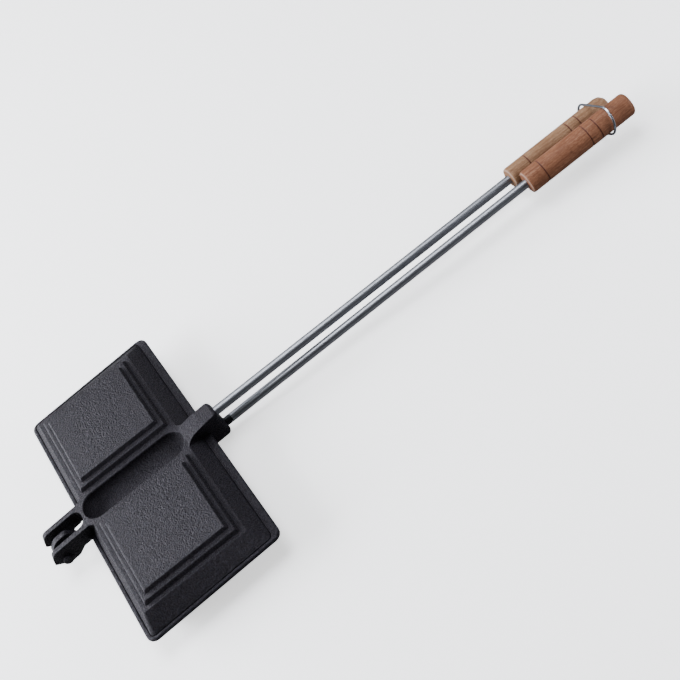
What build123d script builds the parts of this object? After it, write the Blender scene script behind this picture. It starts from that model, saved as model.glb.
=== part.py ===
from build123d import *
from math import atan, cos, degrees, radians, sin, tan
import os

# A hinged double sandwich iron. Two cast iron halves shut face to face, each is
# screwed on to a steel rod with a wooden grip, and a loose wire ring holds the
# two grips together. Sizes are in millimetres and angles in degrees.
# X runs from the hinge to the grips, Y across the head and Z is up. The halves
# meet at Z = 0. Sizes along X are given from the middle of the head's rim.

head_x = -209.21       # moves the rim's middle, so that the whole part is centred on X
lean = 2.25            # the outer faces and the rod of a half lean to the parting plane
past = 30.0            # how far a cutting shape runs past what it cuts
corner_steps = 4       # flats that round a corner seen from above

# rim and sloping wall of a half, at the mid-length of the head
rim_x = 132.8
rim_y = 274.2
rim_t = 2.2
rim_r = 7.5
rim_round = 1.0            # edge taken off the rim, and then off what that leaves
rim_ease = 0.4
seam = 0.35                # edge taken off where the two halves meet
foot_x = (-62.2, 58.5)     # where the sloping wall leaves the rim
foot_y = 133.5
foot_r = 3.5
gutter_w = 0.8             # narrow gutter in the rim along the foot of the wall
gutter_d = 0.7
frame_x = (-55.0, 46.5)    # the flat frame that the wall carries
frame_y = 120.2
frame_z = 13.3
frame_r = 1.5

# two stepped pads on the frame
low_x = (-49.4, 39.7)
low_y = (21.7, 114.1)
low_h = 3.2
high_x = (-44.3, 34.3)
high_y = (28.6, 107.3)
high_h = 2.9
riser = 1.9                # how far a riser leans in over its height
pad_edge = 0.4

# long trough between the pads
trough_x = (-57.9, 47.0)
trough_w = 13.6            # half width at the frame
trough_floor = 5.5         # half width of the flat floor
trough_side = [(13.35, -2.5), (12.7, -4.3), (11.6, -6.1), (10.1, -7.7), (8.0, -8.9)]
trough_d = 9.6
trough_lip = 0.7

# hollow for the bread, two in each half
wall = 3.6
ridge = 9.4                # half width of the ridge between the hollows, at the meeting face

# socket for the rod
boss_end = 81.5
boss_line = [
    (44, 0), (44, 11.3), (47.4, 11.6), (52, 12.7), (58, 14.0), (66, 15.0),
    (boss_end, 15.8, 3.0), (boss_end, 0),
]
boss_w = 8.7
boss_root_w = 17.0
boss_root_x = 40.0
boss_flare = [(46.0, boss_root_w), (48.9, 11.9), (55.0, boss_w + 0.8)]
boss_corner = 5.0
bore_depth = 18.5

# two ears of the upper casting
pivot_x = -92.4
ear_out = 13.6
ear_in = 8.9
ear_root_w = 17.0
slot_x = -60.6             # inner end of the slot between the ears
slot_r = 7.5
# outlines in X and Z; a third value rounds the corner
ear_line = [
    (-52, 2), (-52, 13.2), (-55.2, 15.3), (-98.6, 14.6, 7.0), (-103.8, 3.0, 0.8), (-97.2, -3.2),
    (-91.6, -7.0, 3.5), (-83.0, -6.5, 3.5), (-75.4, -1.7), (-68.2, -1.2), (-67.4, 0), (-60, 0),
]
ear_root_x = -50.0
ear_flare = [(-55.4, ear_root_w), (-57.6, 14.5), (-59.8, ear_out)]

# tongue of the lower casting
tongue_t = 5.0
tongue_line = [
    (-59.4, -3.6), (-72.2, -3.6), (-75.6, 6.0, 3.0), (-81.2, 13.2, 4.5), (-92.6, 12.5, 8.0),
    (-100.0, 5.6, 1.5), (-98.3, -6.6, 4.0), (-92.6, -12.8), (-84.4, -14.4), (-54.3, -14.4),
]
hub_r = 5.6
hub_play = 0.3             # between the hub and each ear

# rivet
rivet_r = 3.0
rivet_play = 0.05
head_r = 4.6
head_h = 3.0
head_top_r = 4.0
head_profile = [(0, 0), (head_r, 0), (head_r, 2.3), (head_top_r, head_h), (0, head_h)]
head_play = 0.2

# rods: where each leaves its socket, and its angle to X seen from above
rod_r = 4.0
rod_play = 0.03
rod_start = 82.4
rod_z = 9.16
upper_y = -0.4
upper_turn = 0.0
lower_y = -1.1
lower_turn = -3.8
rod_in_grip = 60.0
rod_chamfer = 0.6

# grips, with three burnt grooves; lengths along a grip start at its front end
upper_grip_r = 10.1
lower_grip_r = 10.8
grip_len = 110.8
grip_front_round = 2.0
upper_back_round = 7.5
lower_back_round = 3.2
groove_w = 1.2
groove_d = 0.6
lower_front = 411.0
lower_grooves = (17.0, 64.5, 74.8)
upper_front = lower_front - 3.8
upper_grooves = (20.7, 66.9, 77.8)

# wire ring round both grips
wire_r = 1.1
ring_play = 0.9
ring_from_front = 85.4     # along X from the front of the lower grip
ring_sides = 8             # facets round the wire
ring_steps = 12            # straight pieces in each of its two bends
ring_straight = 34.6
ring_roll = 27.6           # the ring's long way against Y, seen from the hinge
ring_lean = 0.19           # how far the top leans towards the grips' ends, per unit of Z
ring_turn = 0.087          # how far the far side is turned the same way, per unit of Y


def leaned(h):
    """Plane parallel to the outer faces of the upper half, h above the meeting face at mid-head."""
    a = radians(lean)
    return Plane(origin=(0, 0, h), x_dir=(cos(a), 0, -sin(a)), z_dir=(sin(a), 0, cos(a)))


def rect(xs, ys, r=0):
    """Rectangle from its limits; where r is given, short flats round its corners."""
    steps = corner_steps if r else 0
    points = []
    for corner in range(4):
        x = xs[1] - r if corner in (0, 3) else xs[0] + r
        y = ys[1] - r if corner in (0, 1) else ys[0] + r
        for k in range(steps + 1):
            a = radians(90 * (corner + k / max(steps, 1)))
            points.append((x + r * cos(a), y + r * sin(a)))
    return make_face(Polyline(points, close=True))


def grown(limits, d):
    return (limits[0] - d, limits[1] + d)


def both(y):
    return (-y, y)


def side_face(points):
    """Face in the XZ plane, with a corner rounded where its point has a third value."""
    face = make_face(Polyline([(p[0], 0, p[1]) for p in points], close=True))
    for p in points:
        if len(p) == 3:
            face = fillet(face.vertices().sort_by_distance((p[0], 0, p[1]))[0], p[2])
    return face


def turned(points):
    """Solid of revolution round Z from points given as distance out and height."""
    return revolve(make_face(Polyline([(r, 0, z) for r, z in points], close=True)), Axis.Z)


def slab(points, half):
    """Outline in XZ made thick on both sides of Y = 0."""
    return extrude(side_face(points), amount=half, dir=(0, 1, 0), both=True)


def eased_top(shape, d):
    """Takes the sharpness off the edges of the highest face."""
    return chamfer(shape.faces().sort_by(Axis.Z)[-1].edges(), d)


def eased_at(shape, z, d):
    """The same for the edges at one height."""
    return chamfer(shape.edges().filter_by_position(Axis.Z, z - 0.01, z + 0.01), d)


def rim():
    """Flange with a rounded edge and a gutter along the foot of the wall."""
    plate = extrude(rect(both(rim_x / 2), both(rim_y / 2), rim_r), rim_t)
    plate = eased_at(plate, rim_t, rim_round)
    plate = eased_at(plate, rim_t, rim_ease)
    plate = eased_at(plate, rim_t - rim_round, rim_ease)
    plate = eased_at(plate, 0, seam)
    outer = rect(grown(foot_x, gutter_w), both(foot_y + gutter_w), foot_r + gutter_w)
    gutter = extrude(outer - rect(foot_x, both(foot_y), foot_r), past)
    return plate - Pos(0, 0, rim_t - gutter_d) * gutter


def sloping_wall():
    foot = Plane.XY.offset(rim_t) * rect(foot_x, both(foot_y), foot_r)
    top = leaned(frame_z) * rect(frame_x, both(frame_y), frame_r)
    return loft([foot, top], ruled=True)


def step(z, h, xs, ys):
    """One step of a pad: its riser leans in from a wider foot."""
    foot = leaned(z) * rect(grown(xs, riser), grown(ys, riser))
    return eased_top(extrude(foot, h, taper=degrees(atan(riser / h))), pad_edge)


def pad():
    low = step(frame_z, low_h, low_x, low_y)
    return low + step(frame_z + low_h, high_h, high_x, high_y)


def trough():
    """Body of the trough: its section drawn along X, with round ends."""
    lip = trough_w + trough_lip
    side = [(0, past), (lip, past), (lip, 0), (trough_w, -trough_lip)] + trough_side
    half = make_face(Polyline(side + [(trough_floor, -trough_d), (0, -trough_d)], close=True))
    x0 = trough_x[0] + trough_w
    x1 = trough_x[1] - trough_w
    # the section stands upright: its X is the part's Y and its Y is Z
    upright = Plane(origin=(x0, 0, 0), x_dir=(0, 1, 0), z_dir=(1, 0, 0))
    run = extrude(upright * half, x1 - x0)
    run += mirror(run, Plane.XZ)
    ends = revolve(upright * half, Axis((x0, 0, 0), (0, 0, 1)), 180)
    other = Plane(origin=(x1, 0, 0), x_dir=(0, -1, 0), z_dir=(-1, 0, 0))
    ends += revolve(other * half, Axis((x1, 0, 0), (0, 0, 1)), 180)
    return leaned(frame_z) * (run + ends)


def hollow():
    """Space for the bread: the outside of a half, one wall thickness further in."""
    mouth_x = (foot_x[0] + wall, foot_x[1] - wall)
    deep_x = (frame_x[0] + wall, frame_x[1] - wall)
    mouth = Plane.XY.offset(-0.01) * rect(mouth_x, (ridge, foot_y - wall), 4)
    deep = leaned(frame_z - wall) * rect(deep_x, (trough_w + wall, frame_y - wall), 3)
    space = loft([mouth, deep], ruled=True)
    pad_low = (low_x[0] + wall, low_x[1] - wall)
    pad_high = (high_x[0] + wall, high_x[1] - wall)
    foot = leaned(frame_z - wall - 0.5) * rect(pad_low, (low_y[0] + wall, low_y[1] - wall))
    top = leaned(frame_z + low_h + high_h - wall) * rect(pad_high, (high_y[0] + wall, high_y[1] - wall))
    return space + loft([foot, top], ruled=True)


def boss():
    """Socket for the rod, flared where it leaves the frame."""
    block = slab(boss_line, boss_root_w)
    corner = (boss_end - boss_corner, boss_w)
    cut = boss_corner * (1 - sin(radians(45)))
    nose = ThreePointArc(corner, (boss_end - cut, boss_w - cut), (boss_end, boss_w - boss_corner))
    side = Line((boss_root_x, boss_root_w), boss_flare[0]) + ThreePointArc(*boss_flare)
    side += Line(boss_flare[-1], corner) + nose
    side += Line((boss_end, boss_w - boss_corner), (boss_end, 0)) + Line((boss_end, 0), (boss_root_x, 0))
    half = make_face(side + Line((boss_root_x, 0), (boss_root_x, boss_root_w)))
    plan = extrude(half + mirror(half, Plane.XZ), past)
    return eased_at(block & plan, 0, seam)


def half_casting():
    """What both halves share, as the upper half."""
    body = rim() + sloping_wall() + boss()
    for s in (pad(), mirror(pad(), Plane.XZ)):
        body += s
    return body


def hollowed(body):
    space = hollow()
    return body - trough() - space - mirror(space, Plane.XZ)


def slot():
    """Notch between the ears, cut through the rims of both halves."""
    cut = rect((pivot_x - past, slot_x), both(ear_in), slot_r)
    return extrude(cut, past, both=True)


def ears():
    end = pivot_x - past
    side = Line((ear_root_x, ear_root_w), ear_flare[0]) + ThreePointArc(*ear_flare)
    side += Line(ear_flare[-1], (end, ear_out)) + Line((end, ear_out), (end, 0))
    side += Line((end, 0), (ear_root_x, 0)) + Line((ear_root_x, 0), (ear_root_x, ear_root_w))
    half = make_face(side)
    plan = extrude(half + mirror(half, Plane.XZ), past, both=True)
    return slab(ear_line, ear_root_w) & plan


def across(r, y0, y1):
    """Cylinder on the hinge line between two values of Y."""
    return Pos(pivot_x, (y0 + y1) / 2, 0) * Rot(90, 0, 0) * Cylinder(r, y1 - y0)


def rod_plane(y, turn, side):
    """Plane whose Z runs along a rod from its socket; side is 1 for the upper half."""
    a = radians(turn)
    b = radians(-lean * side)
    direction = (cos(a) * cos(b), sin(a) * cos(b), sin(b))
    return Plane(origin=(rod_start, y, rod_z * side), x_dir=(-sin(a), cos(a), 0), z_dir=direction)


def along(x, turn):
    """Distance along a rod at which it reaches x."""
    return (x - rod_start) / (cos(radians(turn)) * cos(radians(lean)))


def rod_bore(plane):
    r = rod_r + rod_play
    return plane * Pos(0, 0, (past - bore_depth) / 2) * Cylinder(r, past + bore_depth)


def rod(plane, front):
    start = 0.4 - bore_depth
    end = front + rod_in_grip
    bar = Cylinder(rod_r, end - start)
    bar = chamfer(bar.edges().filter_by(GeomType.CIRCLE), rod_chamfer)
    return plane * Pos(0, 0, (start + end) / 2) * bar


def rounding(r, size, steps):
    """Points of a grip's rounded edge, given from its end face: distance out and depth."""
    angles = [radians(90 * k / steps) for k in range(steps + 1)]
    return [(r - size + size * sin(a), size - size * cos(a)) for a in angles]


def grip(plane, front, r, back_round, grooves):
    """Turned grip with rounded ends, three grooves and a blind hole for the rod."""
    hole = rod_r + rod_play
    points = [(hole, 0)] + rounding(r, grip_front_round, 2)
    for g in grooves:
        points += [(r, g - groove_w / 2), (r - groove_d, g), (r, g + groove_w / 2)]
    points += [(out, grip_len - depth) for out, depth in rounding(r, back_round, 3)[::-1]]
    points += [(0, grip_len), (0, rod_in_grip + 1), (hole, rod_in_grip + 1)]
    return plane * Pos(0, 0, front) * turned(points)


def rivet():
    under = ear_out + head_play
    near = Pos(pivot_x, -under, 0) * Rot(90, 0, 0) * turned(head_profile)
    shank = across(rivet_r, -under, under)
    return shank + near + mirror(near, Plane.XZ)


def ring():
    """Closed wire loop round both grips, in one leaning plane."""
    a = radians(ring_roll)
    x = lower_front + ring_from_front
    mid_y = (upper_y + lower_y + (x - rod_start) * (tan(radians(upper_turn)) + tan(radians(lower_turn)))) / 2
    long_way = (-ring_turn * cos(a) + ring_lean * sin(a), -cos(a), sin(a))
    plane = Plane(origin=(x, mid_y, 0), x_dir=long_way, z_dir=(1, -ring_turn, -ring_lean))
    r = lower_grip_r + wire_r + ring_play
    h = ring_straight / 2
    section = Plane(origin=(0, r, 0), x_dir=(0, 1, 0), z_dir=(1, 0, 0)) * RegularPolygon(wire_r, ring_sides)
    bend = [Pos(h, 0, 0) * Rot(0, 0, -180 * k / ring_steps) * section for k in range(ring_steps + 1)]
    half = loft([Pos(-h, 0, 0) * section] + bend, ruled=True)
    return plane * (half + Rot(0, 0, 180) * half)


upper_line = rod_plane(upper_y, upper_turn, 1)
lower_line = rod_plane(lower_y, lower_turn, -1)
upper_at = along(upper_front, upper_turn)
lower_at = along(lower_front, lower_turn)
rivet_hole = across(rivet_r + rivet_play, -past, past)

plain = half_casting()
upper_casting = hollowed(plain + ears()) - slot() - rivet_hole - rod_bore(upper_line)
lower_casting = mirror(hollowed(plain), Plane.XY) - slot()
hub = across(hub_r, hub_play - ear_in, ear_in - hub_play)
lower_casting = lower_casting + slab(tongue_line, tongue_t / 2) + hub - rivet_hole - rod_bore(lower_line)

nodes = {
    "upper_casting": upper_casting,
    "lower_casting": lower_casting,
    "hinge_rivet": rivet(),
    "upper_rod": rod(upper_line, upper_at),
    "lower_rod": rod(lower_line, lower_at),
    "upper_grip": grip(upper_line, upper_at, upper_grip_r, upper_back_round, upper_grooves),
    "lower_grip": grip(lower_line, lower_at, lower_grip_r, lower_back_round, lower_grooves),
    "latch_ring": ring(),
}

os.makedirs("parts", exist_ok=True)
for name, shape in nodes.items():
    export_step(Pos(head_x, 0, 0) * shape, f"parts/{name}.step")
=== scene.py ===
"""Looks of a hinged double sandwich iron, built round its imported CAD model."""
import math

import bpy
from bpy.props import FloatProperty, FloatVectorProperty, PointerProperty
from mathutils import Matrix, Vector


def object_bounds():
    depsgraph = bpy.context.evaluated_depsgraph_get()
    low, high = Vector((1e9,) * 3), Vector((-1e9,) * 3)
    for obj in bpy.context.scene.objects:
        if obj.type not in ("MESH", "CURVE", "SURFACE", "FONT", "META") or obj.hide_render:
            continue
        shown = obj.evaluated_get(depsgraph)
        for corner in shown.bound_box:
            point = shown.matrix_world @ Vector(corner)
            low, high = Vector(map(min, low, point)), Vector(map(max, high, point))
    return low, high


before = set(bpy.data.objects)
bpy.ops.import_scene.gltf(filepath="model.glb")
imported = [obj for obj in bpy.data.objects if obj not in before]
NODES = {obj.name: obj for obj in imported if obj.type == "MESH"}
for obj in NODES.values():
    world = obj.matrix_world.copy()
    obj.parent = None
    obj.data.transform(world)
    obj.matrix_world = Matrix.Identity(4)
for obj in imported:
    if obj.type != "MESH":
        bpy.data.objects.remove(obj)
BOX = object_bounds()

bl_info = {
    "name": "Sandwich iron",
    "version": (1, 0, 0),
    "blender": (4, 5, 0),
    "location": "View3D > Sidebar > Iron",
    "description": "Materials and stage for a hinged double sandwich iron",
    "category": "Object",
}

# Places that come from the CAD model, in metres
HEAD_X = -0.20921          # middle of the head's rim
SOCKET_X = 0.0824          # face of the rod sockets, from the middle of the head
LEAN = math.radians(2.25)  # of each rod to the plane where the halves meet
# Of each rod: where its axis leaves the socket, how far it is turned sideways, which way it leans, and how
# far its dark threaded stretch comes out of the socket, which hides it on the upper rod
UPPER_ROD = {
    "origin": Vector((SOCKET_X + HEAD_X, -0.0004, 0.00916)), "turn": 0.0, "side": 1.0,
    "thread": -0.001}
LOWER_ROD = {
    "origin": Vector((SOCKET_X + HEAD_X, -0.0011, -0.00916)), "turn": math.radians(-3.8), "side": -1.0,
    "thread": 0.0062}
# "front" is measured from the middle of the head, and "grooves" from the front
UPPER_GRIP = {"front": 0.4072, "radius": 0.0101, "grooves": (0.0207, 0.0669, 0.0778)}
LOWER_GRIP = {"front": 0.4110, "radius": 0.0108, "grooves": (0.0170, 0.0645, 0.0748)}
GRIP_LENGTH = 0.1108
# Where the heart of the tree lies for each grip: along the rod, where the wood is drawn out, and across it
UPPER_PITH = (0.02, -0.020, -0.030)
LOWER_PITH = (0.03, 0.014, -0.034)

# Masks of the cast surface, in metres
EDGE_ROUND_RADIUS = 0.0006       # rounding of the edges
CORNER_REACH = 0.002       # painted shade in tight corners
HOLLOW_REACH = 0.02        # painted shade in the trough and the pockets

# Marks on the rods and the grips, in metres
THREAD_FADE = 0.0004       # over which the dark threaded stretch ends
GROOVE_HALF = 0.0004       # half of a groove's burnt width
BURN_FADE = 0.0004         # over which the burn ends
RIM_DEPTH = (0.0028, 0.0018)    # where the pale rim starts and is full, in from the outside
RIM_BACK = (0.0012, 0.0007)     # where it ends and is full, back from the front
END_SKIN = (0.0003, 0.0001)     # darker end grain at both ends

FLOOR_WIDTH = 40.0         # in metres, so that its edge stays far off in every view
GAP = 0.0002               # between the floor and the lowest point of the part
SKY_SIDE = (-0.40, 0.60, 0.69)    # where the sky is brightest
LAMP_COLOUR = (0.93, 0.95, 1.0)
SENSOR = 36.0              # width of the camera's sensor in millimetres
PICTURE = 680.0            # width of the picture in pixels


def rod_direction(rod):
    """Unit vector along a rod, from its socket to its grip."""
    lean = -LEAN * rod["side"]
    turn = rod["turn"]
    level = math.cos(lean)
    return Vector((math.cos(turn) * level, math.sin(turn) * level, math.sin(lean)))


def grip_front(rod, grip):
    """Where the axis of a grip meets its front face."""
    direction = rod_direction(rod)
    reach = (grip["front"] + HEAD_X - rod["origin"].x) / direction.x
    return rod["origin"] + direction * reach


# ---------------------------------------------------------------- settings


class IronSettings(bpy.types.PropertyGroup):
    body: FloatVectorProperty(
        name="Iron", description="Colour of the cast surface", subtype="COLOR", size=3,
        min=0.0, max=1.0, default=(0.0029, 0.0026, 0.0036))
    grain_size: FloatProperty(
        name="Grain size", description="Size of the sand grain left by the mould",
        subtype="DISTANCE", unit="LENGTH", default=0.0013)
    grain_depth: FloatProperty(
        name="Grain depth", description="Height of the bump that stands for the sand grain",
        subtype="DISTANCE", unit="LENGTH", default=0.0018)
    roughness: FloatProperty(
        name="Roughness", description="Roughness of the iron", subtype="FACTOR", min=0.0, max=1.0,
        default=0.42)


class SteelSettings(bpy.types.PropertyGroup):
    body: FloatVectorProperty(
        name="Steel", description="Colour of the plated rods", subtype="COLOR", size=3,
        min=0.0, max=1.0, default=(0.225, 0.235, 0.258))
    wire: FloatVectorProperty(
        name="Wire", description="Colour of the wire ring", subtype="COLOR", size=3,
        min=0.0, max=1.0, default=(0.36, 0.38, 0.43))
    upper_roughness: FloatProperty(
        name="Upper rod roughness", description="Roughness of the upper rod", subtype="FACTOR",
        min=0.0, max=1.0, default=0.38)
    lower_roughness: FloatProperty(
        name="Lower rod roughness", description="Roughness of the lower rod", subtype="FACTOR",
        min=0.0, max=1.0, default=0.36)


class WoodSettings(bpy.types.PropertyGroup):
    near: FloatVectorProperty(
        name="Lower grip", description="Colour of the lower grip", subtype="COLOR", size=3,
        min=0.0, max=1.0, default=(0.205, 0.090, 0.047))
    far: FloatVectorProperty(
        name="Upper grip", description="Colour of the upper grip", subtype="COLOR", size=3,
        min=0.0, max=1.0, default=(0.268, 0.160, 0.090))
    burn: FloatVectorProperty(
        name="Burnt groove", description="Colour of the burnt grooves", subtype="COLOR", size=3,
        min=0.0, max=1.0, default=(0.072, 0.022, 0.012))
    # Pale rim: partly wear, partly a painted highlight on the front rounding
    rim: FloatVectorProperty(
        name="Pale rim", description="Colour of the rim at the front of a grip", subtype="COLOR", size=3,
        min=0.0, max=1.0, default=(0.26, 0.19, 0.15))


class StageSettings(bpy.types.PropertyGroup):
    floor: FloatVectorProperty(
        name="Floor", description="Colour of the floor", subtype="COLOR", size=3,
        min=0.0, max=1.0, default=(0.86, 0.86, 0.86))
    bounce: FloatVectorProperty(
        name="Bounce", description="Colour of the light that the floor throws back at the part",
        subtype="COLOR", size=3, min=0.0, max=1.0, default=(0.17, 0.17, 0.17))
    glow: FloatProperty(
        name="Glow", description="Evens out the floor towards white", subtype="FACTOR",
        default=1.0, min=0.0)
    backdrop: FloatProperty(
        name="Backdrop", description="Brightness of the backdrop behind the floor", subtype="FACTOR",
        default=1.8, min=0.0)
    lens: FloatProperty(
        name="Lens", description="Focal length of the camera on a 36 mm sensor",
        subtype="DISTANCE_CAMERA", unit="CAMERA", default=60.97)
    elevation: FloatProperty(
        name="Elevation", description="Height of the camera above the horizon", subtype="ANGLE",
        unit="ROTATION", default=math.radians(49.25))
    yaw: FloatProperty(
        name="Yaw", description="How far the camera stands round from straight across the rods",
        subtype="ANGLE", unit="ROTATION", default=math.radians(-4.38))
    roll: FloatProperty(
        name="Roll", description="How far the camera is turned about its own axis", subtype="ANGLE",
        unit="ROTATION", default=math.radians(36.48))
    distance: FloatProperty(
        name="Distance", description="From the camera to the middle of the head",
        subtype="DISTANCE", unit="LENGTH", default=0.98566)
    aim_x: FloatProperty(
        name="Aim across", description="Middle of the head from the centre of the frame, in pixels",
        subtype="PIXEL", default=-193.3)
    aim_y: FloatProperty(
        name="Aim up", description="Middle of the head from the centre of the frame, in pixels",
        subtype="PIXEL", default=-137.1)


# ---------------------------------------------------------------- helpers


def plug(tree, node, links):
    """Links an input to another node's output, or gives it a value."""
    for socket, source in links:
        if isinstance(source, bpy.types.NodeSocket):
            tree.links.new(source, node.inputs[socket])
        else:
            node.inputs[socket].default_value = source
    return node


def put(tree, kind, links=(), **values):
    """Adds a node, sets its properties and links its inputs."""
    node = tree.nodes.new(kind)
    for key, value in values.items():
        setattr(node, key, value)
    return plug(tree, node, links)


def new_group(name, inputs, outputs):
    """Shader node group with named sockets."""
    group = bpy.data.node_groups.new(name, "ShaderNodeTree")
    for label, kind, value in inputs:
        socket = group.interface.new_socket(label, in_out="INPUT", socket_type=kind)
        if value is not None:
            socket.default_value = value
    for label, kind in outputs:
        group.interface.new_socket(label, in_out="OUTPUT", socket_type=kind)
    return group, group.nodes.new("NodeGroupInput").outputs, group.nodes.new("NodeGroupOutput").inputs


def add_group(tree, name, links):
    """Places a node group, which is built the first time that it is asked for."""
    node = tree.nodes.new("ShaderNodeGroup")
    node.node_tree = bpy.data.node_groups.get(name) or GROUPS[name](name)
    return plug(tree, node, links).outputs


def maths(tree, operation, a, b=None, clamp=False):
    links = [(0, a)] if b is None else [(0, a), (1, b)]
    return put(tree, "ShaderNodeMath", links, operation=operation, use_clamp=clamp).outputs[0]


def times(tree, value, factor):
    return maths(tree, "MULTIPLY", value, factor)


def blend(tree, a, share_a, b, share_b):
    """Weighted sum of two values."""
    return maths(tree, "ADD", times(tree, a, share_a), times(tree, b, share_b))


def vector(tree, operation, a, b=None, **sockets):
    """Vector or, for a length or a dot product, value from two vectors."""
    links = [(0, a)] if b is None else [(0, a), (1, b)]
    node = put(tree, "ShaderNodeVectorMath", links + list(sockets.items()), operation=operation)
    return node.outputs["Value" if operation in ("DOT_PRODUCT", "LENGTH") else "Vector"]


def stretch(tree, value, low, high, start=0.0, end=1.0):
    """Maps a value from one range to another and clamps it."""
    links = [
        ("Value", value), ("From Min", low), ("From Max", high), ("To Min", start), ("To Max", end)]
    return put(tree, "ShaderNodeMapRange", links).outputs["Result"]


def mix(tree, factor, a, b):
    links = [(0, factor), (6, a), (7, b)]
    return put(tree, "ShaderNodeMix", links, data_type="RGBA").outputs[2]


def noise(tree, place, scale, detail=2.0, rough=0.5, distortion=0.0):
    links = [
        ("Vector", place), ("Scale", scale), ("Detail", detail), ("Roughness", rough),
        ("Distortion", distortion)]
    return put(tree, "ShaderNodeTexNoise", links).outputs[0]


def bump(tree, height, distance, strength, normal=None):
    links = [("Height", height), ("Distance", distance), ("Strength", strength)]
    if normal is not None:
        links.append(("Normal", normal))
    return put(tree, "ShaderNodeBump", links).outputs[0]


def new_material(name):
    material = bpy.data.materials.new(name)
    material.use_nodes = True
    tree = material.node_tree
    tree.nodes.clear()
    out = put(tree, "ShaderNodeOutputMaterial")
    shader = put(tree, "ShaderNodeBsdfPrincipled")
    tree.links.new(shader.outputs[0], out.inputs["Surface"])
    return material, tree, shader


def object_coords(tree):
    return put(tree, "ShaderNodeTexCoord").outputs["Object"]


def rod_coords(tree, coords, rod, drawn):
    """Coordinates turned so that X runs along a rod, drawn out along it."""
    turn = (0.0, LEAN * rod["side"], rod["turn"])
    links = [("Vector", coords), ("Rotation", turn), ("Scale", (drawn, 1.0, 1.0))]
    return put(tree, "ShaderNodeMapping", links, vector_type="TEXTURE").outputs[0]


def dress(node, material):
    """Gives a CAD node one material."""
    NODES[node].data.materials.clear()
    NODES[node].data.materials.append(material)


def tinted(colour, red=1.0, green=None, blue=None):
    """A colour times one factor, or times one for each channel, with full alpha."""
    green = red if green is None else green
    blue = red if blue is None else blue
    return (colour[0] * red, colour[1] * green, colour[2] * blue, 1.0)


# ---------------------------------------------------------------- groups


def grain_group(name):
    """Sand grain of a casting: tone, tint and patch masks, and height."""
    inputs = [("Vector", "NodeSocketVector", None), ("Size", "NodeSocketFloat", 0.0011)]
    outputs = [
        ("Speckle", "NodeSocketFloat"), ("Tint", "NodeSocketFloat"), ("Patch", "NodeSocketFloat"),
        ("Height", "NodeSocketFloat")]
    group, start, end = new_group(name, inputs, outputs)
    place = start["Vector"]
    per = maths(group, "DIVIDE", 1.0, start["Size"])
    fine = noise(group, place, per, 3.0, 0.6)
    coarse = noise(group, place, times(group, per, 0.35), 2.0, 0.5)
    aside = vector(group, "ADD", place, (0.31, 0.17, 0.23))
    tint = noise(group, aside, times(group, per, 0.6), 2.0, 0.6)
    patch = noise(group, place, times(group, per, 0.03), 3.0, 0.55)
    group.links.new(stretch(group, fine, 0.36, 0.64), end["Speckle"])
    group.links.new(stretch(group, tint, 0.38, 0.62), end["Tint"])
    group.links.new(stretch(group, patch, 0.3, 0.7), end["Patch"])
    group.links.new(blend(group, fine, 0.7, coarse, 0.3), end["Height"])
    return group


def edge_group(name):
    """Masks of lighter edges (partly wear, partly a painted highlight), of painted shade in corners and
    hollows, and the normal with its edges rounded.
    """
    inputs = [
        ("Radius", "NodeSocketFloat", EDGE_ROUND_RADIUS), ("Depth", "NodeSocketFloat", CORNER_REACH),
        ("Reach", "NodeSocketFloat", HOLLOW_REACH)]
    outputs = [
        ("Worn and highlight", "NodeSocketFloat"), ("Crease shade", "NodeSocketFloat"), ("Hollow shade", "NodeSocketFloat"),
        ("Normal", "NodeSocketVector")]
    group, start, end = new_group(name, inputs, outputs)

    def openness(distance):
        links = [("Distance", distance)]
        node = put(group, "ShaderNodeAmbientOcclusion", links, samples=8, only_local=True)
        return node.outputs["AO"]

    rounded = put(group, "ShaderNodeBevel", [("Radius", start["Radius"])], samples=6).outputs[0]
    plain = put(group, "ShaderNodeNewGeometry").outputs["Normal"]
    bent = stretch(group, vector(group, "DOT_PRODUCT", rounded, plain), 0.99, 0.93)
    tight = openness(start["Depth"])
    wide = openness(start["Reach"])
    # Lighter edges: partly rubbed wear, partly a painted highlight
    worn_and_highlight = maths(group, "MULTIPLY", bent, stretch(group, tight, 0.86, 0.97))
    group.links.new(worn_and_highlight, end["Worn and highlight"])
    # Painted shade: darker where the surface closes in within a short reach
    group.links.new(stretch(group, tight, 0.87, 0.70), end["Crease shade"])
    # Painted shade: darker deep in the trough and the pockets
    group.links.new(stretch(group, wide, 0.82, 0.55), end["Hollow shade"])
    group.links.new(rounded, end["Normal"])
    return group


def beech_group(name):
    """Figure of turned beech: growth rings, streaks, pores and a few dark flecks."""
    inputs = [("Vector", "NodeSocketVector", None), ("Pith", "NodeSocketVector", None)]
    outputs = [
        ("Ring", "NodeSocketFloat"), ("Streak", "NodeSocketFloat"), ("Pore", "NodeSocketFloat"),
        ("Fleck", "NodeSocketFloat"), ("Height", "NodeSocketFloat")]
    group, start, end = new_group(name, inputs, outputs)

    def stretched(along):
        return vector(group, "MULTIPLY", start["Vector"], (along, 1.0, 1.0))

    log = stretched(0.12)
    out = vector(group, "LENGTH", vector(group, "SUBTRACT", log, start["Pith"]))
    phase = blend(group, out, 2600.0, noise(group, log, 140.0, 2.0, 0.5), 14.0)
    streak = noise(group, stretched(0.06), 880.0, 3.0, 0.62, 0.3)
    pore = noise(group, stretched(0.22), 1900.0, 2.0, 0.6)
    links = [("Vector", stretched(0.45)), ("Scale", 120.0), ("Randomness", 1.0)]
    cells = put(group, "ShaderNodeTexVoronoi", links).outputs["Distance"]
    group.links.new(stretch(group, maths(group, "SINE", phase), -0.4, 1.0), end["Ring"])
    group.links.new(stretch(group, streak, 0.34, 0.66), end["Streak"])
    group.links.new(stretch(group, pore, 0.40, 0.62, 1.0, 0.0), end["Pore"])
    group.links.new(stretch(group, cells, 0.06, 0.11, 1.0, 0.0), end["Fleck"])
    group.links.new(blend(group, streak, 0.4, pore, 0.6), end["Height"])
    return group


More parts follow.
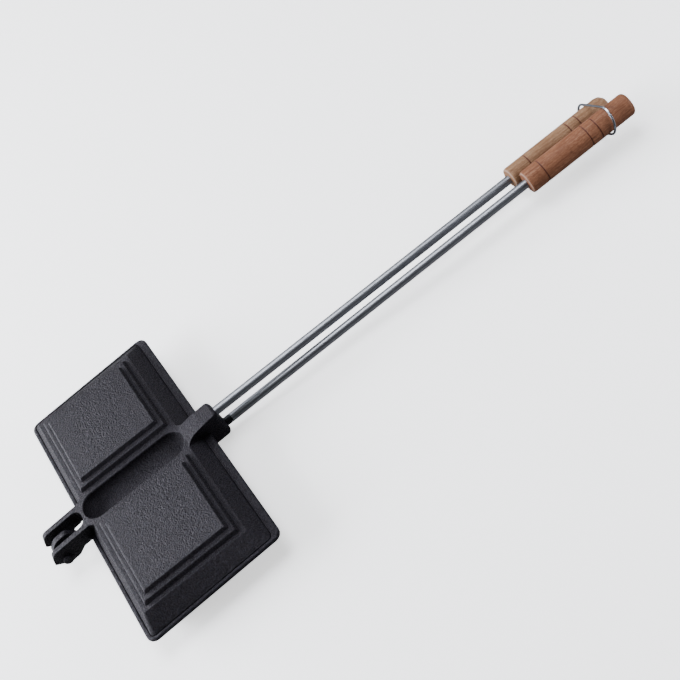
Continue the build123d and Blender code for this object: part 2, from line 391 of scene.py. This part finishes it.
def along_group(name):
    """Distance along an axis, and distance from it."""
    inputs = [
        ("Vector", "NodeSocketVector", None), ("Start", "NodeSocketVector", None),
        ("Axis", "NodeSocketVector", None)]
    outputs = [("Along", "NodeSocketFloat"), ("Out", "NodeSocketFloat")]
    group, start, end = new_group(name, inputs, outputs)
    rel = vector(group, "SUBTRACT", start["Vector"], start["Start"])
    along = vector(group, "DOT_PRODUCT", rel, start["Axis"])
    foot = vector(group, "SCALE", start["Axis"], Scale=along)
    group.links.new(along, end["Along"])
    group.links.new(vector(group, "LENGTH", vector(group, "SUBTRACT", rel, foot)), end["Out"])
    return group


GROUPS = {
    "Sand grain": grain_group,
    "Edges and corners": edge_group,
    "Beech": beech_group,
    "Along an axis": along_group,
}


# ---------------------------------------------------------------- materials


def cast_iron(name, s):
    """Seasoned cast iron: fine sand grain, painted shade in the corners and hollows, and edges a little
    lighter, partly rubbed wear and partly a painted highlight.
    """
    material, tree, shader = new_material(name)
    coords = object_coords(tree)
    grain = add_group(tree, "Sand grain", [("Vector", coords), ("Size", s.grain_size)])
    links = [("Radius", EDGE_ROUND_RADIUS), ("Depth", CORNER_REACH), ("Reach", HOLLOW_REACH)]
    edges = add_group(tree, "Edges and corners", links)
    body = s.body
    light = mix(tree, grain["Tint"], tinted(body, 3.0, 2.6, 2.3), tinted(body, 2.1, 2.6, 3.0))
    tone = mix(tree, grain["Speckle"], tinted(body, 0.10), light)
    # Random patches, lighter edges that are partly wear and partly a painted highlight, and painted shade
    # in creases and hollows
    layers = [
        (grain["Patch"], 0.25, 1.2), (edges["Worn and highlight"], 0.6, 6.0), (edges["Crease shade"], 0.85, 0.15),
        (edges["Hollow shade"], 0.7, 0.25)]
    for mask, share, factor in layers:
        tone = mix(tree, times(tree, mask, share), tone, tinted(body, factor))
    rough = stretch(tree, grain["Speckle"], 0.0, 1.0, s.roughness + 0.24, s.roughness - 0.14)
    rough = maths(tree, "ADD", rough, times(tree, edges["Hollow shade"], 0.55), clamp=True)
    # Painted shade in hollows and creases: with so dark a colour, the metallic share takes the gloss away
    # there
    painted_shade_dulling = maths(
        tree, "MAXIMUM", times(tree, edges["Hollow shade"], 0.35), times(tree, edges["Crease shade"], 0.35))
    relief = bump(tree, grain["Height"], s.grain_depth, 1.0, edges["Normal"])
    plug(tree, shader, [
        ("Base Color", tone), ("Roughness", rough), ("Metallic", painted_shade_dulling), ("Normal", relief),
        ("Specular IOR Level", 0.20), ("Specular Tint", (0.90, 0.84, 0.98, 1.0))])
    return material


def plated_steel(name, colour, rod, roughness):
    """Bright plated bar with faint drawing lines along it, and a dark threaded stretch at its socket."""
    material, tree, shader = new_material(name)
    coords = object_coords(tree)
    streak = noise(tree, rod_coords(tree, coords, rod, 33.0), 2600.0, 2.0, 0.6)
    cloud = noise(tree, coords, 90.0, 3.0, 0.6)
    tint = mix(tree, stretch(tree, cloud, 0.35, 0.7), tinted(colour), tinted(colour, 0.86))
    axis = add_group(tree, "Along an axis", [
        ("Vector", coords), ("Start", tuple(rod["origin"])), ("Axis", tuple(rod_direction(rod)))])
    thread = stretch(tree, axis["Along"], rod["thread"] - THREAD_FADE, rod["thread"], 1.0, 0.0)
    tint = mix(tree, thread, tint, tinted(colour, 0.12))
    rough = maths(
        tree, "ADD", stretch(tree, streak, 0.3, 0.7, -0.04, 0.06),
        stretch(tree, cloud, 0.3, 0.7, roughness, roughness + 0.04))
    plug(tree, shader, [
        ("Base Color", tint), ("Roughness", rough), ("Metallic", 1.0),
        ("Normal", bump(tree, streak, 0.00002, 0.5))])
    return material


def turned_wood(name, colour, s, rod, grip, pith):
    """Oiled beech turned on a lathe, with burnt grooves and a pale rim at the front that is partly wear
    and partly a painted highlight.
    """
    material, tree, shader = new_material(name)
    coords = object_coords(tree)
    axis = add_group(tree, "Along an axis", [
        ("Vector", coords), ("Start", tuple(grip_front(rod, grip))),
        ("Axis", tuple(rod_direction(rod)))])
    links = [("Vector", rod_coords(tree, coords, rod, 1.0)), ("Pith", pith)]
    wood = add_group(tree, "Beech", links)
    cloud = noise(tree, coords, 55.0, 2.0, 0.5)
    deep = tinted(colour, 0.50, 0.40, 0.34)
    tone = mix(tree, wood["Streak"], deep, tinted(colour, 1.15))
    tone = mix(tree, times(tree, wood["Ring"], 0.30), tone, tinted(colour, 1.35, 1.45, 1.55))
    tone = mix(tree, stretch(tree, cloud, 0.5, 0.75, 0.0, 0.5), tone, deep)
    tone = mix(tree, times(tree, wood["Pore"], 0.8), tone, deep)
    tone = mix(tree, times(tree, wood["Fleck"], 0.6), tone, tinted(colour, 0.22, 0.20, 0.20))
    # Pale rim at the front: partly wear, partly a painted highlight
    tone = mix(tree, times(tree, front_rim_highlight(tree, axis, grip), 0.5), tone, tinted(s.rim))
    tone = mix(tree, burnt_grooves(tree, axis["Along"], grip), tone, tinted(s.burn))
    tone = mix(tree, times(tree, end_grain(tree, axis["Along"]), 0.6), tone, deep)
    plug(tree, shader, [
        ("Base Color", tone), ("Roughness", stretch(tree, wood["Streak"], 0.0, 1.0, 0.62, 0.48)),
        ("Specular IOR Level", 0.2), ("Normal", bump(tree, wood["Height"], 0.00015, 0.6))])
    return material


def front_rim_highlight(tree, axis, grip):
    """Mask of the pale rim round the front of a grip, partly wear and partly a painted highlight on its
    rounding.
    """
    radius = grip["radius"]
    outside = stretch(tree, axis["Out"], radius - RIM_DEPTH[0], radius - RIM_DEPTH[1])
    return maths(tree, "MULTIPLY", outside, stretch(tree, axis["Along"], *RIM_BACK))


def burnt_grooves(tree, along, grip):
    """Mask of the burnt grooves round a grip."""
    burnt = None
    for groove in grip["grooves"]:
        off = maths(tree, "ABSOLUTE", maths(tree, "SUBTRACT", along, groove))
        band = stretch(tree, off, GROOVE_HALF, GROOVE_HALF + BURN_FADE, 1.0, 0.0)
        burnt = band if burnt is None else maths(tree, "MAXIMUM", burnt, band)
    return burnt


def end_grain(tree, along):
    """Mask of both ends of a grip."""
    front = stretch(tree, along, *END_SKIN)
    back = stretch(tree, along, *[GRIP_LENGTH - depth for depth in END_SKIN])
    return maths(tree, "ADD", front, back)


def bright_wire(name, colour):
    """Bright plated wire with faint cloudy patches."""
    material, tree, shader = new_material(name)
    cloud = noise(tree, object_coords(tree), 700.0, 2.0, 0.5)
    tint = mix(tree, stretch(tree, cloud, 0.4, 0.7), tinted(colour), tinted(colour, 0.7))
    plug(tree, shader, [
        ("Base Color", tint), ("Metallic", 1.0),
        ("Roughness", stretch(tree, cloud, 0.3, 0.7, 0.10, 0.16))])
    return material


def plain_floor(name, s):
    """Pale floor that throws less light back at the part than the camera sees in it."""
    material, tree, shader = new_material(name)
    camera = put(tree, "ShaderNodeLightPath").outputs["Is Camera Ray"]
    glow = mix(tree, camera, (0.0, 0.0, 0.0, 1.0), (s.glow, s.glow, s.glow, 1.0))
    plug(tree, shader, [
        ("Base Color", mix(tree, camera, tinted(s.bounce), tinted(s.floor))),
        ("Emission Color", glow), ("Emission Strength", 1.0), ("Roughness", 0.9)])
    return material


# ---------------------------------------------------------------- operators


class IRON_OT_castings(bpy.types.Operator):
    """Gives the two castings and the rivet their cast iron"""
    bl_idname = "iron.castings"
    bl_label = "Castings"

    def execute(self, context):
        iron = cast_iron("Cast iron", context.scene.iron_body)
        for node in ("upper_casting", "lower_casting", "hinge_rivet"):
            dress(node, iron)
        return {"FINISHED"}


class IRON_OT_rods(bpy.types.Operator):
    """Gives the two rods their plating"""
    bl_idname = "iron.rods"
    bl_label = "Rods"

    def execute(self, context):
        s = context.scene.iron_steel
        dress("upper_rod", plated_steel("Upper rod steel", s.body, UPPER_ROD, s.upper_roughness))
        dress("lower_rod", plated_steel("Lower rod steel", s.body, LOWER_ROD, s.lower_roughness))
        return {"FINISHED"}


class IRON_OT_grips(bpy.types.Operator):
    """Gives the two grips their wood"""
    bl_idname = "iron.grips"
    bl_label = "Grips"

    def execute(self, context):
        s = context.scene.iron_wood
        upper = turned_wood("Upper grip beech", s.far, s, UPPER_ROD, UPPER_GRIP, UPPER_PITH)
        lower = turned_wood("Lower grip beech", s.near, s, LOWER_ROD, LOWER_GRIP, LOWER_PITH)
        dress("upper_grip", upper)
        dress("lower_grip", lower)
        return {"FINISHED"}


class IRON_OT_ring(bpy.types.Operator):
    """Gives the wire ring its bright plating"""
    bl_idname = "iron.ring"
    bl_label = "Wire ring"

    def execute(self, context):
        dress("latch_ring", bright_wire("Bright wire", context.scene.iron_steel.wire))
        return {"FINISHED"}


class IRON_OT_stage(bpy.types.Operator):
    """Adds the floor, the lights and the camera"""
    bl_idname = "iron.stage"
    bl_label = "Stage"

    # Name, place, size in metres and power in watts
    lamps = (
        ("key", (-2.0, 0.40, 0.62), 1.0, 100.0),
        ("side", (-1.5, 1.25, 0.65), 1.0, 74.0),
        ("back", (-0.2, 1.7, 1.7), 1.5, 12.0),
        ("top", (0.05, 0.42, 1.9), 1.1, 41.0),
        ("end", (1.5, 0.9, 0.6), 1.0, 5.0),
        ("fill", (0.85, -0.45, 0.3), 0.5, 7.0),
    )

    def execute(self, context):
        s = context.scene.iron_stage
        self.floor(context, s)
        self.sky(context, s)
        for lamp in self.lamps:
            self.lamp(context, *lamp)
        self.camera(context, s)
        return {"FINISHED"}

    def floor(self, context, s):
        """Adds a pale floor just below the part."""
        bpy.ops.object.select_all(action="DESELECT")
        bpy.ops.mesh.primitive_plane_add(size=FLOOR_WIDTH, location=(0.0, 0.0, BOX[0][2] - GAP))
        floor = context.active_object
        floor.name = "floor"
        bpy.ops.object.transform_apply(location=True, rotation=True, scale=True)
        floor.data.materials.append(plain_floor("Pale floor", s))

    def sky(self, context, s):
        """Soft light from above and behind, and a pale backdrop for the camera."""
        world = bpy.data.worlds.new("Studio")
        context.scene.world = world
        world.use_nodes = True
        tree = world.node_tree
        way = put(tree, "ShaderNodeTexCoord").outputs["Generated"]
        facing = vector(tree, "DOT_PRODUCT", way, SKY_SIDE)
        light = stretch(tree, facing, -0.1, 0.95, 0.03, 0.56)
        camera = put(tree, "ShaderNodeLightPath").outputs["Is Camera Ray"]
        seen = mix(tree, camera, light, (s.backdrop, s.backdrop, s.backdrop, 1.0))
        tree.links.new(seen, tree.nodes["Background"].inputs["Color"])

    def lamp(self, context, name, place, size, watts):
        """Adds a square lamp that is turned towards the part."""
        bpy.ops.object.light_add(type="AREA", location=place)
        light = context.active_object
        light.name = name
        light.data.size = size
        light.data.energy = watts
        light.data.color = LAMP_COLOUR
        aim = Vector((HEAD_X * 0.5, 0.0, 0.0)) - Vector(place)
        light.rotation_euler = aim.to_track_quat("-Z", "Y").to_euler()

    def camera(self, context, s):
        """Stands the camera where the photograph was taken from."""
        e, yaw, roll = s.elevation, s.yaw, s.roll
        back = Vector((math.sin(yaw) * math.cos(e), -math.cos(yaw) * math.cos(e), math.sin(e)))
        level = Vector((math.cos(yaw), math.sin(yaw), 0.0))
        up = back.cross(level)
        right = level * math.cos(roll) - up * math.sin(roll)
        up = level * math.sin(roll) + up * math.cos(roll)
        pixels = s.lens / SENSOR * PICTURE
        across = right * (s.aim_x / pixels * s.distance)
        rise = up * (s.aim_y / pixels * s.distance)
        place = back * s.distance - across - rise + Vector((HEAD_X, 0.0, 0.0))
        bpy.ops.object.camera_add(location=place)
        camera = context.active_object
        camera.name = "camera"
        camera.rotation_euler = Matrix((right, up, back)).transposed().to_euler()
        camera.data.lens = s.lens
        camera.data.sensor_width = SENSOR
        camera.data.clip_start = 0.01
        context.scene.camera = camera


class IRON_PT_panel(bpy.types.Panel):
    """Lists the pieces"""
    bl_idname = "IRON_PT_panel"
    bl_label = "Sandwich iron"
    bl_space_type = "VIEW_3D"
    bl_region_type = "UI"
    bl_category = "Iron"

    def draw(self, context):
        column = self.layout.column(align=True)
        for operator in OPERATORS:
            column.operator(operator.bl_idname)


OPERATORS = (IRON_OT_castings, IRON_OT_rods, IRON_OT_grips, IRON_OT_ring, IRON_OT_stage)
SETTINGS = {
    "iron_body": IronSettings,
    "iron_steel": SteelSettings,
    "iron_wood": WoodSettings,
    "iron_stage": StageSettings,
}


def register():
    for settings in SETTINGS.values():
        bpy.utils.register_class(settings)
    for name, settings in SETTINGS.items():
        setattr(bpy.types.Scene, name, PointerProperty(type=settings))
    for operator in OPERATORS:
        bpy.utils.register_class(operator)
    bpy.utils.register_class(IRON_PT_panel)


def unregister():
    bpy.utils.unregister_class(IRON_PT_panel)
    for operator in reversed(OPERATORS):
        bpy.utils.unregister_class(operator)
    for name in SETTINGS:
        delattr(bpy.types.Scene, name)
    for settings in SETTINGS.values():
        bpy.utils.unregister_class(settings)


def main():
    register()
    bpy.ops.iron.castings()
    bpy.ops.iron.rods()
    bpy.ops.iron.grips()
    bpy.ops.iron.ring()
    bpy.ops.iron.stage()
    bpy.context.view_layer.update()


if __name__ == "__main__":
    main()
